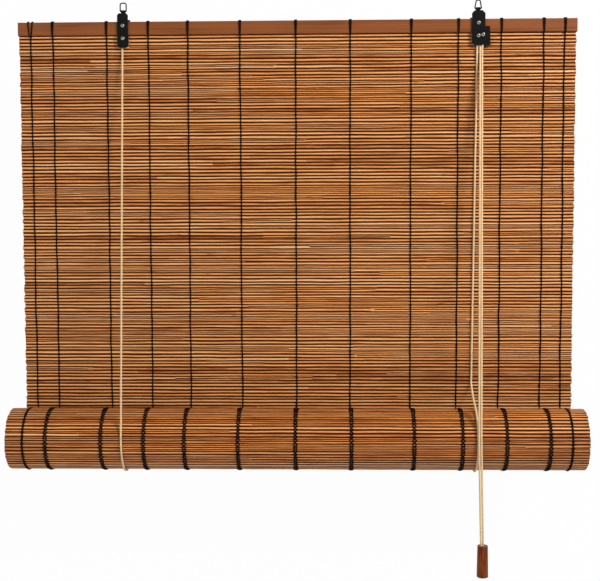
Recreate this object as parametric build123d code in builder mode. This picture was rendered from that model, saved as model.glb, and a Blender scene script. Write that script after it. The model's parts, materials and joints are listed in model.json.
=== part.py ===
from build123d import *
from math import acos, atan2, cos, degrees, hypot, pi, radians, sin, sqrt
import os

# Driving dimensions in millimetres. X runs along the blind, Y from the room to the window, Z up.
# The origin is midway between the two hanging rings, at the height where their hooks bear.

# Headrail, a planed wooden slat
blind_width = 800
rail_centre_x = -6
rail_top_z = -26
rail_height = 19
rail_thickness = 9
rail_edge_radius = 1.2

# Reed mat
reed_count = 120
reed_pitch = 4.8
reed_diameter = 3.9
web_width = 6
web_thickness = 1.4
web_offset = 6

# Rolled part of the mat
turn_pitch = 5.3
turn_thickness = 3.2
outer_turn_radius = 43
roll_core_room = 11.4
roll_end_overhang = 8
body_gap = 0.3

# Slat stitched into the lower end of the mat, in the middle of the roll
bottom_rail_height = 19
bottom_rail_thickness = 5
bottom_rail_edge_radius = 1

# Black warp threads, one column each, placed from the middle of the rail as shares of the width
thread_shares = [
    -0.4775,
    -0.4375,
    -0.34,
    -0.265,
    -0.19375,
    -0.1,
    0,
    0.0975,
    0.20625,
    0.29,
    0.36625,
    0.44125,
    0.47875,
]
thread_width = 2.4
rolled_thread_width = 4.2
thread_thickness = 0.6
thread_clearance = 0.05
reeds_per_tie = 12
tie_height = 0.5

# Hanging blocks: a front plate, and a back plate whose neck rolls round the wire ring
block_spacing_share = 0.635
plate_width_left = 15.6
plate_width_right = 19
plate_thickness = 1.2
plate_above_rail = 11.4
plate_below_rail = 18.4
corner_cut_left = 2.6
corner_cut_right = 4
plate_standoff = 1.5
window_margin = 0.5
neck_width = 6.2
neck_rise = 7.6
ring_wire = 1.8
ring_clearance = 0.25
knuckle_wall = 1.1
ring_base_drop = 11.2
ring_width_left = 10.4
ring_width_right = 11.6
ring_top_width_right = 7
ring_foot_radius = 1.6
ring_top_radius = 2.5

# Pulley wheels
wheel_pitch_radius = 4
wheel_rim_radius = 6
wheel_thickness = 4
wheel_gap = 0.4
wheel_drop = 6
groove_clearance = 0.1
running_clearance = 0.06

# Rivets
rivet_shank_radius = 1.5
rivet_head_radius = 2.85
rivet_head_height = 1.3
rivet_dimple_radius = 1
rivet_collar_radius = 2.6
rivet_hole_clearance = 0.1
guide_rivet_drop = 24

# Cord lock, a toothed lever beside the pull cords
lock_pivot_offset = 6.5
lock_pivot_drop = 22.5
lock_hub_radius = 2.8
lock_sheet = 1.1
lock_arm_width = 5.6
lock_arm_rise = 12
lock_arm_fall = 16
lock_arm_lean = 4
lock_tooth_pitch = 2.4
lock_tooth_depth = 1
lock_tooth_count = 4

# Cords
cord_diameter = 2.5
cord_gap = 0.35
sling_left_offset = 5.3
sling_right_offset = -7.3
leg_left_offset = -1.2
leg_right_offset = -1.4
pull_exit_offset = 4.4
pull_exit_spacing = 3.8
pull_roll_offset = -1.4
pull_roll_spacing = 4.4
pull_end_offset = -0.6
pull_end_spacing = 3
cord_exit_y = -2.8
cord_exit_drop = 11
cord_turn_drop = 1.5
rear_cord_turn_drop = 4.5
cord_join_drop = 17
cord_bend_radius = 6
window_reeds = 3
slack_leg_drift = 5.3
slack_leg_height = 65
slack_bend_radius = 14
pull_bend_radius = 30
roll_touch_angle = 111

# Wooden tassel
tassel_top_z = -762
tassel_length = 44
tassel_top_diameter = 14.5
tassel_bottom_diameter = 16
tassel_bore = 6.6
tassel_socket = 11
tassel_socket_depth = 9
tassel_edge_radius = 1

# Staples that hold the rear ends of the lift cords
staple_wire = 1.4
staple_inner_radius = 1.8
staple_drop = 17.5
staple_knot_radius = 2.1
staple_knot_rise = 3

# Heights and depths that follow from those sizes
rail_left_x = rail_centre_x - blind_width / 2
rail_bottom_z = rail_top_z - rail_height
rail_front_y = -rail_thickness / 2
rail_back_y = rail_thickness / 2
reed_radius = reed_diameter / 2
roll_turns = round((outer_turn_radius - turn_thickness / 2 - roll_core_room) / turn_pitch)
thread_columns = [blind_width * share for share in thread_shares]
cord_radius = cord_diameter / 2
mat_height = reed_count * reed_pitch
mat_middle_z = rail_bottom_z - mat_height / 2
axis_z = rail_bottom_z - mat_height
axis_y = -outer_turn_radius
roll_length = blind_width + 2 * roll_end_overhang
roll_left_x = rail_centre_x - roll_length / 2
thread_reach = reed_radius + thread_clearance + thread_thickness
sling_radius = outer_turn_radius + thread_reach + cord_gap + cord_radius
block_x = blind_width * block_spacing_share / 2
sling_left_x = -block_x + sling_left_offset
sling_right_x = block_x + sling_right_offset
leg_left_x = -block_x + leg_left_offset
leg_right_x = block_x + leg_right_offset
pull_exit_x = block_x + pull_exit_offset
pull_roll_x = block_x + pull_roll_offset
pull_end_x = block_x + pull_end_offset
plate_top_z = rail_top_z + plate_above_rail
plate_bottom_z = rail_bottom_z - plate_below_rail
plate_height = plate_top_z - plate_bottom_z
plate_middle_z = (plate_top_z + plate_bottom_z) / 2
front_plate_back_y = rail_front_y - plate_standoff
wheel_z = rail_top_z - wheel_drop
guide_z = rail_top_z - guide_rivet_drop
first_wheel_y = rail_back_y + thread_thickness + wheel_gap + wheel_thickness / 2
second_wheel_y = first_wheel_y + wheel_thickness + wheel_gap
back_plate_left_y = first_wheel_y + wheel_thickness / 2 + wheel_gap
back_plate_right_y = second_wheel_y + wheel_thickness / 2 + wheel_gap
ring_base_z = -ring_base_drop
ring_top_z = ring_wire / 2
window_bottom_z = rail_bottom_z - window_reeds * reed_pitch
lock_x = block_x + lock_pivot_offset
lock_z = rail_top_z - lock_pivot_drop
cord_exit_z = rail_bottom_z - cord_exit_drop
cord_turn_z = rail_bottom_z - cord_turn_drop
rear_cord_turn_z = rail_bottom_z - rear_cord_turn_drop
cord_hang_y = -(thread_reach + cord_gap + cord_radius)
cord_join_z = rail_bottom_z - cord_join_drop
rivet_hole_radius = rivet_shank_radius + rivet_hole_clearance
staple_cord_y = rail_back_y + staple_knot_radius + thread_clearance

os.makedirs("parts", exist_ok=True)


def save(name, piece):
    """Labels a finished piece and writes it to its own file."""
    piece.label = name
    export_step(piece, f"parts/{name}.step")


def wall_plane(y):
    """An upright plane along the blind at depth y, whose normal points into the room."""
    return Plane.XZ.offset(-y)


# Headrail: one slat, drilled for the upper rivet of each block
with BuildPart() as headrail:
    with BuildSketch(Plane.YZ.offset(rail_left_x)):
        with Locations((0, (rail_top_z + rail_bottom_z) / 2)):
            RectangleRounded(rail_thickness, rail_height, rail_edge_radius)
    extrude(amount=blind_width)
    with BuildSketch(wall_plane(rail_back_y)):
        with Locations((-block_x, wheel_z), (block_x, wheel_z)):
            Circle(rivet_hole_radius)
    extrude(amount=rail_thickness, mode=Mode.SUBTRACT)
save("headrail", headrail.part)


# Reed mat: round reeds with open gaps, held by a stitched web beside each outer thread
with BuildPart() as reed_mat:
    with BuildSketch(Plane.YZ.offset(rail_left_x)):
        for row in range(reed_count):
            with Locations((0, rail_bottom_z - reed_pitch * (row + 0.5))):
                Circle(reed_radius)
    extrude(amount=blind_width)
    left_web_x = rail_centre_x + thread_columns[0] - web_offset
    right_web_x = rail_centre_x + thread_columns[-1] + web_offset
    with Locations((left_web_x, 0, mat_middle_z), (right_web_x, 0, mat_middle_z)):
        Box(web_width, web_thickness, mat_height)
    for side, width in ((-1, plate_width_left), (1, plate_width_right)):
        with Locations((side * block_x, 0, (rail_bottom_z + window_bottom_z) / 2)):
            window_width = width - 2 * window_margin
            window_height = rail_bottom_z - window_bottom_z
            Box(window_width, reed_pitch, window_height, mode=Mode.SUBTRACT)
        inner_web_x = side * (block_x - window_width / 2 - web_width)
        with Locations((inner_web_x, 0, rail_bottom_z - (window_height + reed_pitch) / 2)):
            Box(web_width, web_thickness, window_height + reed_pitch)
save("reed_mat", reed_mat.part)


def half_turns(offset, first, last):
    """Centre, radius and start angle of the roll's half circles, at an offset from the mat's middle.

    The lower halves lie round the axis and the upper halves half a pitch in front of it,
    so that each half is tangent to the next and every turn is one pitch inside the last.
    """
    found = []
    for half in range(first, last):
        centre_y = axis_y - (turn_pitch / 2 if half % 2 else 0)
        radius = outer_turn_radius - half * turn_pitch / 2 + offset
        start = 180 if half % 2 else 0
        found.append(((centre_y, axis_z), radius, start))
    return found


def spiral_band(inner, outer, last):
    """Draws the band between two offsets of the spiral, from the rear of the outer turn inwards."""
    with BuildLine() as outline:
        for centre, radius, start in half_turns(outer, 0, last):
            CenterArc(centre, radius, start, -180)
        for centre, radius, start in half_turns(inner, 0, last):
            CenterArc(centre, radius, start, -180)
        far_side = 1 if last % 2 == 0 else -1
        centre, radius, start = half_turns(0, last - 1, last)[0]
        Line((axis_y + outer_turn_radius + inner, axis_z), (axis_y + outer_turn_radius + outer, axis_z))
        end_y = centre[0] + far_side * radius
        Line((end_y + far_side * inner, axis_z), (end_y + far_side * outer, axis_z))
    make_face(outline.edges())


# Rolled mat: a spiral of six turns, with the reeds standing out along the outer turn
with BuildPart() as rolled_mat:
    with BuildSketch(Plane.YZ.offset(roll_left_x)):
        spiral_band(-turn_thickness / 2, turn_thickness / 2, 2 * roll_turns)
        for centre, radius, start in half_turns(0, 0, 2):
            ridge_count = round(pi * radius / reed_pitch)
            for ridge in range(ridge_count):
                angle = radians(start - 180 * (ridge + 0.5) / ridge_count)
                with Locations((centre[0] + radius * cos(angle), axis_z + radius * sin(angle))):
                    Circle(reed_radius)
    extrude(amount=roll_length)
save("rolled_mat", rolled_mat.part)

# Bottom rail: a slat inside the innermost turn
core_radius = outer_turn_radius - (2 * roll_turns - 1) * turn_pitch / 2 - turn_thickness / 2
core_reach = sqrt(core_radius**2 - (bottom_rail_thickness / 2) ** 2)
bottom_rail_back_y = axis_y - turn_pitch / 2 + core_reach - body_gap
with BuildPart() as bottom_rail:
    with BuildSketch(Plane.YZ.offset(roll_left_x)):
        with Locations((bottom_rail_back_y - bottom_rail_height / 2, axis_z)):
            RectangleRounded(bottom_rail_height, bottom_rail_thickness, bottom_rail_edge_radius)
    extrude(amount=roll_length)
save("bottom_rail", bottom_rail.part)


def wrap_outline(gap, end_z):
    """Side view of the rail and the mat below it, grown by a gap."""
    rail_y = rail_thickness / 2 + gap
    mat_y = reed_radius + gap
    shoulder_z = rail_bottom_z - gap
    return [
        (-rail_y, rail_top_z + gap),
        (rail_y, rail_top_z + gap),
        (rail_y, shoulder_z),
        (mat_y, shoulder_z),
        (mat_y, end_z),
        (-mat_y, end_z),
        (-mat_y, shoulder_z),
        (-rail_y, shoulder_z),
    ]


# Warp threads: each runs over the rail, down both sides of the reeds, and ties through their gaps
for number, column in enumerate(thread_columns, start=1):
    thread_x = rail_centre_x + column
    thread_end_z = axis_z + body_gap
    with BuildPart() as warp_thread:
        with BuildSketch(Plane.YZ.offset(thread_x - thread_width / 2)):
            with BuildLine():
                Polyline(wrap_outline(thread_clearance + thread_thickness, thread_end_z), close=True)
            make_face()
            with BuildLine():
                Polyline(wrap_outline(thread_clearance, thread_end_z - body_gap), close=True)
            make_face(mode=Mode.SUBTRACT)
            for row in range(reeds_per_tie, reed_count, reeds_per_tie):
                with Locations((0, rail_bottom_z - row * reed_pitch)):
                    Rectangle(2 * thread_reach, tie_height)
        extrude(amount=thread_width)
    save(f"warp_thread_{number:02d}", warp_thread.part)

    with BuildPart() as roll_thread:
        with BuildSketch(Plane.YZ.offset(thread_x - rolled_thread_width / 2)):
            spiral_band(reed_radius + thread_clearance, thread_reach, 2)
        extrude(amount=rolled_thread_width)
    save(f"roll_thread_{number:02d}", roll_thread.part)


def block_holes(side):
    """Rivet holes of a block, in the plane of its plates."""
    with Locations((side * block_x, wheel_z), (side * block_x, guide_z)):
        Circle(rivet_hole_radius, mode=Mode.SUBTRACT)


def front_plate(name, side, width, corner_cut, holds_lock):
    """A flat steel plate with cut upper corners."""
    with BuildPart() as plate:
        with BuildSketch(wall_plane(front_plate_back_y)) as outline:
            with Locations((side * block_x, plate_middle_z)):
                Rectangle(width, plate_height)
            top_corners = outline.vertices().group_by(Axis.Z)[-1]
            chamfer(top_corners, corner_cut)
            block_holes(side)
            if holds_lock:
                with Locations((lock_x, lock_z)):
                    Circle(rivet_hole_radius, mode=Mode.SUBTRACT)
        extrude(amount=plate_thickness)
    save(name, plate.part)


front_plate("left_front_plate", -1, plate_width_left, corner_cut_left, False)
front_plate("right_front_plate", 1, plate_width_right, corner_cut_right, True)


def back_plate(name, side, width, plate_y):
    """A steel plate behind the wheels, stepped over the rail to a neck that curls round the ring's foot."""
    shelf_z = plate_top_z - neck_rise + plate_thickness
    knuckle_radius = ring_wire / 2 + ring_clearance
    with BuildPart() as plate:
        with BuildSketch(wall_plane(plate_y + plate_thickness)):
            with Locations((side * block_x, (shelf_z + plate_bottom_z) / 2)):
                Rectangle(width, shelf_z - plate_bottom_z)
            block_holes(side)
        extrude(amount=plate_thickness)
        with BuildSketch(Plane.YZ.offset(side * block_x - neck_width / 2)):
            with Locations(((plate_y + plate_thickness) / 2, shelf_z - plate_thickness / 2)):
                Rectangle(plate_y + 2 * plate_thickness, plate_thickness)
            with Locations((0, (shelf_z - plate_thickness + ring_base_z) / 2)):
                Rectangle(plate_thickness, ring_base_z - shelf_z + plate_thickness)
            with Locations((0, ring_base_z)):
                Circle(knuckle_radius + knuckle_wall)
                Circle(knuckle_radius, mode=Mode.SUBTRACT)
        extrude(amount=neck_width)
    save(name, plate.part)


back_plate("left_back_plate", -1, plate_width_left, back_plate_left_y)
back_plate("right_back_plate", 1, plate_width_right, back_plate_right_y)


def wire_ring(name, side, foot_width, top_width, top_radius):
    """A closed loop of wire that the wall hook goes through."""
    foot = (foot_width - ring_wire) / 2
    top = (top_width - ring_wire) / 2
    centre_x = side * block_x
    corners = [
        (centre_x, ring_base_z),
        (centre_x + foot, ring_base_z),
        (centre_x + top, ring_top_z),
        (centre_x - top, ring_top_z),
        (centre_x - foot, ring_base_z),
    ]
    radii = [0, ring_foot_radius, top_radius, top_radius, ring_foot_radius]
    with BuildPart() as ring:
        with BuildLine(Plane.XZ):
            path = FilletPolyline(*corners, radius=radii, close=True)
        with BuildSketch(Plane(origin=(centre_x, 0, ring_base_z), z_dir=(1, 0, 0))):
            Circle(ring_wire / 2)
        sweep(path=path)
    save(name, ring.part)


wire_ring("left_hanging_ring", -1, ring_width_left, ring_width_left, ring_top_radius)
wire_ring("right_hanging_ring", 1, ring_width_right, ring_top_width_right, ring_top_radius)


def pulley_wheel(name, side, wheel_y):
    """A grooved wheel on the block's upper rivet."""
    middle = Plane(origin=(side * block_x, wheel_y, wheel_z), x_dir=(1, 0, 0), z_dir=(0, 0, 1))
    bore = rivet_shank_radius + running_clearance
    groove = cord_radius + groove_clearance
    half = wheel_thickness / 2
    with BuildPart() as wheel:
        with BuildSketch(middle):
            with Locations(((bore + wheel_rim_radius) / 2, 0)):
                Rectangle(wheel_rim_radius - bore, wheel_thickness)
            with Locations((wheel_pitch_radius, 0)):
                Circle(groove, mode=Mode.SUBTRACT)
            with Locations((wheel_pitch_radius + half, 0)):
                Rectangle(2 * half, 2 * groove, mode=Mode.SUBTRACT)
        revolve(axis=Axis(middle.origin, (0, 1, 0)))
    save(name, wheel.part)


pulley_wheel("left_wheel", -1, first_wheel_y)
pulley_wheel("right_front_wheel", 1, first_wheel_y)
pulley_wheel("right_rear_wheel", 1, second_wheel_y)


def rivet(x, z, back_y, collar):
    """One rivet along Y, with a domed head, a dimple and a plain tail behind the last plate."""
    front_y = front_plate_back_y - plate_thickness
    plane = Plane(origin=(x, 0, z), x_dir=(1, 0, 0), z_dir=(0, 0, 1))
    head_y = front_y - rivet_head_height
    with BuildSketch(plane) as profile:
        with Locations((rivet_shank_radius / 2, (front_y + back_y) / 2)):
            Rectangle(rivet_shank_radius, back_y - front_y)
        with BuildLine():
            Polyline((0, front_y), (rivet_head_radius, front_y))
            ThreePointArc(
                (rivet_head_radius, front_y),
                (rivet_head_radius * 0.8, front_y - rivet_head_height * 0.7),
                (rivet_dimple_radius, head_y),
            )
            Line((rivet_dimple_radius, head_y), (0, head_y + rivet_head_height / 2))
            Line((0, head_y + rivet_head_height / 2), (0, front_y))
        make_face()
        with Locations((rivet_collar_radius / 2, back_y + rivet_head_height / 2)):
            Rectangle(rivet_collar_radius, rivet_head_height)
        if collar > 0:
            with Locations((rivet_collar_radius / 2, front_plate_back_y + collar / 2)):
                Rectangle(rivet_collar_radius, collar)
    revolve(profile.sketch, axis=Axis(plane.origin, (0, 1, 0)))


# Rivets of each block: the upper one is the wheels' axle, the lower one ties the plates together
with BuildPart() as left_rivets:
    rivet(-block_x, wheel_z, back_plate_left_y + plate_thickness, plate_standoff)
    rivet(-block_x, guide_z, back_plate_left_y + plate_thickness, 0)
save("left_rivets", left_rivets.part)

lever_front_y = front_plate_back_y + (plate_standoff - lock_sheet) / 2
with BuildPart() as right_rivets:
    rivet(block_x, wheel_z, back_plate_right_y + plate_thickness, plate_standoff)
    rivet(block_x, guide_z, back_plate_right_y + plate_thickness, 0)
    rivet(lock_x, lock_z, lever_front_y + lock_sheet + running_clearance, 0)
save("right_rivets", right_rivets.part)

# Cord lock: a sheet lever on the third rivet, with teeth that pinch the pull cords
cord_side_x = pull_exit_x + pull_exit_spacing / 2 + cord_radius + body_gap
with BuildPart() as lock_lever:
    with BuildSketch(wall_plane(lever_front_y + lock_sheet)):
        with Locations((lock_x, lock_z)):
            Circle(lock_hub_radius)
        with BuildLine():
            Polyline(
                (lock_x, lock_z + lock_hub_radius),
                (lock_x + lock_arm_lean, lock_z + lock_arm_rise),
                (lock_x + lock_arm_lean + lock_arm_width, lock_z + lock_arm_rise),
                (lock_x + 2 * lock_arm_lean + lock_arm_width / 2, lock_z - lock_arm_fall),
                (cord_side_x, lock_z - lock_arm_fall),
                (cord_side_x, lock_z),
                close=True,
            )
        make_face()
        for tooth in range(lock_tooth_count):
            tooth_z = lock_z - lock_arm_fall + lock_tooth_pitch * (tooth + 0.5)
            with Locations((cord_side_x, tooth_z)):
                Rectangle(lock_tooth_depth, lock_tooth_depth, rotation=45, mode=Mode.SUBTRACT)
        with Locations((lock_x, lock_z)):
            Circle(rivet_shank_radius + running_clearance, mode=Mode.SUBTRACT)
    extrude(amount=lock_sheet)
save("lock_lever", lock_lever.part)


def staple(name, x):
    """A wire staple on the rail's back that the lift cord passes up through."""
    staple_z = rail_top_z - staple_drop
    reach = staple_inner_radius + staple_wire / 2
    with BuildPart() as wire:
        with BuildLine(Plane.XY.offset(staple_z)) as path:
            Line((x - reach, rail_back_y), (x - reach, staple_cord_y))
            ThreePointArc((x - reach, staple_cord_y), (x, staple_cord_y + reach), (x + reach, staple_cord_y))
            Line((x + reach, staple_cord_y), (x + reach, rail_back_y))
        with BuildSketch(Plane(origin=(x - reach, rail_back_y, staple_z), z_dir=(0, 1, 0))):
            Circle(staple_wire / 2)
        sweep(path=path.wires()[0])
    save(name, wire.part)


staple("left_staple", sling_left_x)
staple("right_staple", sling_right_x)


def tube(name, points, radii, knot_radius=0):
    """A cord as a plain round tube along straight runs joined by tangent arcs, checked by its volume.

    A knot, where there is one, sits round the cord's first point.
    """
    start = Vector(points[0])
    away = (Vector(points[1]) - start).normalized()
    with BuildPart() as cord:
        with BuildLine() as route:
            if radii:
                FilletPolyline(*points, radius=radii)
            else:
                Line(points[0], points[-1])
        with BuildSketch(Plane(origin=start, z_dir=away)):
            Circle(cord_radius)
        sweep(path=route.wires()[0])
        length = route.wires()[0].length
        share = cord.part.volume / (pi * cord_radius**2 * length)
        if knot_radius > 0:
            with Locations(points[0]):
                Sphere(knot_radius)
    print(f"{name}: length {length:.1f} mm, bend radii {radii}, volume share {share:.4f}")
    save(name, cord.part)


def roll_point(x, angle, radius=sling_radius):
    """A point beside the roll at an angle from the rear, over the top towards the room."""
    return (x, axis_y + radius * cos(radians(angle)), axis_z + radius * sin(radians(angle)))


def front_tangent_angle(y, z):
    """Where a straight cord from a point above meets the front of the roll."""
    rise = z - axis_z
    depth = y - axis_y
    return degrees(atan2(rise, depth) + acos(sling_radius / hypot(rise, depth)))


def shortened(start, end, gap):
    """The end of a run, drawn back towards its start."""
    run = Vector(end) - Vector(start)
    return tuple(Vector(end) - run.normalized() * gap)


def along(start, end, z):
    """The point at a height on the line through two points."""
    share = (z - start[2]) / (end[2] - start[2])
    return tuple(Vector(start) + (Vector(end) - Vector(start)) * share)


def sling(name, x, front_angle):
    """The part of a lift cord that lies under the roll, from its front round to its rear."""
    with BuildPart() as loop:
        with BuildLine(Plane.YZ.offset(x)) as route:
            CenterArc((axis_y, axis_z), sling_radius, front_angle, 360 - front_angle)
        with BuildSketch(Plane(origin=roll_point(x, 0), z_dir=(0, 0, 1))):
            Circle(cord_radius)
        sweep(path=route.wires()[0])
    print(f"{name}: length {route.wires()[0].length:.1f} mm, bend radius {sling_radius:.1f}")
    save(name, loop.part)


# Lift cords: down behind the mat, under the roll, and up its front to the blocks
exit_left = (leg_left_x, cord_exit_y, cord_exit_z)
exit_right = (leg_right_x, cord_hang_y, cord_exit_z)
touch_left = roll_point(sling_left_x, front_tangent_angle(cord_exit_y, cord_exit_z))
join_left = along(exit_left, touch_left, cord_join_z)
sling("left_sling", sling_left_x, front_tangent_angle(cord_exit_y, cord_exit_z))
tube("left_lift_leg", [join_left, shortened(join_left, touch_left, body_gap)], [])

slack_corner = (leg_right_x - slack_leg_drift, cord_hang_y, axis_z + slack_leg_height)
touch_right = roll_point(sling_right_x, roll_touch_angle)
join_right = along(exit_right, slack_corner, cord_join_z)
sling("right_sling", sling_right_x, roll_touch_angle)
tube(
    "right_lift_leg",
    [join_right, slack_corner, shortened(slack_corner, touch_right, body_gap)],
    [slack_bend_radius],
)

for name, x in (("left_rear_leg", sling_left_x), ("right_rear_leg", sling_right_x)):
    knot_at = (x, staple_cord_y, rail_top_z - staple_drop + staple_knot_rise)
    rear_end = (x, axis_y + sling_radius, axis_z + body_gap)
    tube(name, [knot_at, rear_end], [], staple_knot_radius)

# Top runs: each lift cord goes back through its window, over a wheel and out again at the right block
wheel_top_z = wheel_z + wheel_pitch_radius
left_side_x = -block_x - wheel_pitch_radius
near_side_x = block_x - wheel_pitch_radius
far_side_x = block_x + wheel_pitch_radius
pull_a_exit = (pull_exit_x + pull_exit_spacing / 2, cord_exit_y, cord_exit_z)
pull_b_exit = (pull_exit_x - pull_exit_spacing / 2, cord_exit_y, cord_exit_z)
pull_touch_angle = front_tangent_angle(cord_exit_y, cord_exit_z)
pull_a_touch = roll_point(pull_roll_x + pull_roll_spacing / 2, pull_touch_angle)
pull_b_touch = roll_point(pull_roll_x - pull_roll_spacing / 2, pull_touch_angle)
pull_a_join = along(pull_a_exit, pull_a_touch, cord_join_z)
pull_b_join = along(pull_b_exit, pull_b_touch, cord_join_z)
tube(
    "cross_cord",
    [
        join_left,
        exit_left,
        (left_side_x, first_wheel_y, cord_turn_z),
        (left_side_x, first_wheel_y, wheel_top_z),
        (far_side_x, first_wheel_y, wheel_top_z),
        (far_side_x, first_wheel_y, cord_turn_z),
        pull_a_exit,
        pull_a_join,
    ],
    [
        cord_bend_radius,
        cord_bend_radius,
        wheel_pitch_radius,
        wheel_pitch_radius,
        cord_bend_radius,
        cord_bend_radius,
    ],
)
tube(
    "right_top_cord",
    [
        join_right,
        exit_right,
        (near_side_x, second_wheel_y, rear_cord_turn_z),
        (near_side_x, second_wheel_y, wheel_top_z),
        (far_side_x, second_wheel_y, wheel_top_z),
        (far_side_x, second_wheel_y, rear_cord_turn_z),
        pull_b_exit,
        pull_b_join,
    ],
    [
        cord_bend_radius,
        cord_bend_radius,
        wheel_pitch_radius - thread_clearance,
        wheel_pitch_radius - thread_clearance,
        cord_bend_radius,
        cord_bend_radius,
    ],
)

# Pull cords: a straight run down to the front of the roll, then over it and down into the tassel
socket_top_z = tassel_top_z - tassel_length + tassel_socket_depth
pull_end_y = axis_y - sling_radius
for name, side, joint, touch in (
    ("pull_cord_a", 1, pull_a_join, pull_a_touch),
    ("pull_cord_b", -1, pull_b_join, pull_b_touch),
):
    front_of_roll = (touch[0], pull_end_y, axis_z)
    pull_end = (pull_end_x + side * pull_end_spacing / 2, pull_end_y, socket_top_z)
    tube(f"{name}_upper", [joint, shortened(joint, touch, body_gap)], [])
    tube(f"{name}_lower", [touch, front_of_roll, pull_end], [pull_bend_radius])

# Tassel: a turned wooden weight, bored for the cords and opened below for their knot
with BuildPart() as tassel:
    with BuildSketch(Plane(origin=(pull_end_x, pull_end_y, tassel_top_z), x_dir=(1, 0, 0), z_dir=(0, -1, 0))) as half:
        with BuildLine():
            Polyline(
                (0, 0),
                (tassel_top_diameter / 2, 0),
                (tassel_bottom_diameter / 2, -tassel_length),
                (0, -tassel_length),
                close=True,
            )
        make_face()
        fillet(half.vertices().group_by(Axis.X)[-1], tassel_edge_radius)
        fillet(half.vertices().group_by(Axis.Z)[-1].sort_by(Axis.X)[-1], tassel_edge_radius)
        with Locations((tassel_bore / 4, -tassel_length / 2)):
            Rectangle(tassel_bore / 2, tassel_length, mode=Mode.SUBTRACT)
        with Locations((tassel_socket / 4, tassel_socket_depth / 2 - tassel_length)):
            Rectangle(tassel_socket / 2, tassel_socket_depth, mode=Mode.SUBTRACT)
    revolve(axis=Axis((pull_end_x, pull_end_y, 0), (0, 0, 1)))
save("tassel", tassel.part)

# Knot of both pull cords, seated in the tassel's socket
knot_radius = (tassel_socket_depth - body_gap) / 2
with BuildPart() as pull_knot:
    with Locations((pull_end_x, pull_end_y, socket_top_z - body_gap - knot_radius)):
        Sphere(knot_radius)
save("pull_knot", pull_knot.part)
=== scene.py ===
import json
from math import ceil, cos, pi, radians, sin, tau
from random import Random

import bpy
import numpy as np
from bpy.props import FloatProperty, FloatVectorProperty, IntProperty, PointerProperty
from bpy.types import Operator, Panel, PropertyGroup
from bpy.utils import register_class, unregister_class
from mathutils import Matrix, Vector

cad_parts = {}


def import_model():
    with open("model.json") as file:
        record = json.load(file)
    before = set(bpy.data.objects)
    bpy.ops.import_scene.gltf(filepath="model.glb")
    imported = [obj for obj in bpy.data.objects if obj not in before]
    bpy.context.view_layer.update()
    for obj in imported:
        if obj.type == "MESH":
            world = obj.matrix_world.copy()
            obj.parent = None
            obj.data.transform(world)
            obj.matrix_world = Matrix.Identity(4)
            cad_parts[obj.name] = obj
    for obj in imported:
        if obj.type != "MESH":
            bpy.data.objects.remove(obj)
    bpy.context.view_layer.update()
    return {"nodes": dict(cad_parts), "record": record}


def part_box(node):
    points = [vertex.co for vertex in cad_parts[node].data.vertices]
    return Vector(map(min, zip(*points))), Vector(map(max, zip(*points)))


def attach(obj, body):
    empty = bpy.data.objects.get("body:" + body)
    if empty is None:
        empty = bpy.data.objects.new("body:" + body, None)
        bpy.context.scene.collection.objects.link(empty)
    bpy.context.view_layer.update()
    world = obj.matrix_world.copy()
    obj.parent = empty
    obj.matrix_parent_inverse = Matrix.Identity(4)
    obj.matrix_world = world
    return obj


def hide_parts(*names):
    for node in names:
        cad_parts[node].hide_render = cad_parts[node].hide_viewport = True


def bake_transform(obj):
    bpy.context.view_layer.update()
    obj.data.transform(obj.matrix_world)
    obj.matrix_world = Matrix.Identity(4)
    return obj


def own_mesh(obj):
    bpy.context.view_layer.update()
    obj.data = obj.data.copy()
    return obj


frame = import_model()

bl_info = {
    "name": "Reed blind maker",
    "version": (1, 0, 0),
    "blender": (4, 5, 0),
    "location": "View3D > Sidebar > Blind",
    "description": "Makes the reeds, threads, cords and finishes of a roll-up reed blind",
    "category": "Object",
}

# Where things stand on this blind, in metres
RAIL_MIDDLE_X = -0.006
RAIL_TOP_Z, RAIL_BOTTOM_Z = -0.026, -0.045
RAIL_HALF_DEPTH = 0.0045
AXIS_Y, AXIS_Z = -0.043, -0.621
TURN_RADIUS, TURN_PITCH, TURNS = 0.043, 0.0053, 6
FRONT_RADIUS, SLING_RADIUS = 0.0472, 0.0463
BLOCK_X = 0.254
RIVETS_Z, LEVER_RIVET = (-0.032, -0.05), (0.2605, -0.0485)
WINDOW_HALVES = (0.0075, 0.0092)
WINDOW_ROWS = 3
COLUMN_SHARES = (
    -0.4775, -0.4375, -0.34, -0.265, -0.19375, -0.1, 0,
    0.0975, 0.20625, 0.29, 0.36625, 0.44125, 0.47875,
)
UPWARD, BACKWARD = np.array((0, 0, 1)), np.array((0, 1, 0))

# How far the reeds are cut up: chances for each row, and steps in metres
CUT_CHANCE, SECOND_CUT_CHANCE, ROLL_CUT_CHANCE = 0.8, 0.45, 0.75
SLIVER_CHANCE = 0.24
SLIVER_STEP, LAP_STEP, END_DOME = 0.0006, 0.0003, 0.0004
# The power by which a reed's thickness follows the share of the row that it fills
THINNING = 0.35
# The waves of a wandering line: length in metres, and share of its height
WAVES = ((0.31, 0.4), (0.13, 0.4), (0.062, 0.3))

# Rings of a strand's skin, as shares of its radius
ROUND, FIVE_SIDED, FOUR_STRANDS = (1,) * 6, (1,) * 5, (0.85, 1, 1) * 4
# A stitch over one reed of the roll: place along the room of the reed, height, and side
STITCH = ((1, 0.0016, -1), (0.5, 0.0021, -0.55), (0, 0.00235, 0), (-0.5, 0.0021, 0.55))
EDGE_LATTICE = 0.0016
# Places of a thread's loops over the rail, from its column
SPLAY, WIDE_SPLAY = (-0.00135, 0, 0.00135), (-0.0034, -0.0027, 0.0027, 0.0034)
# Angles between faces up to which a piece is shaded smooth, in degrees
REED_ANGLE, STRAND_ANGLE = 50, 80

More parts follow.
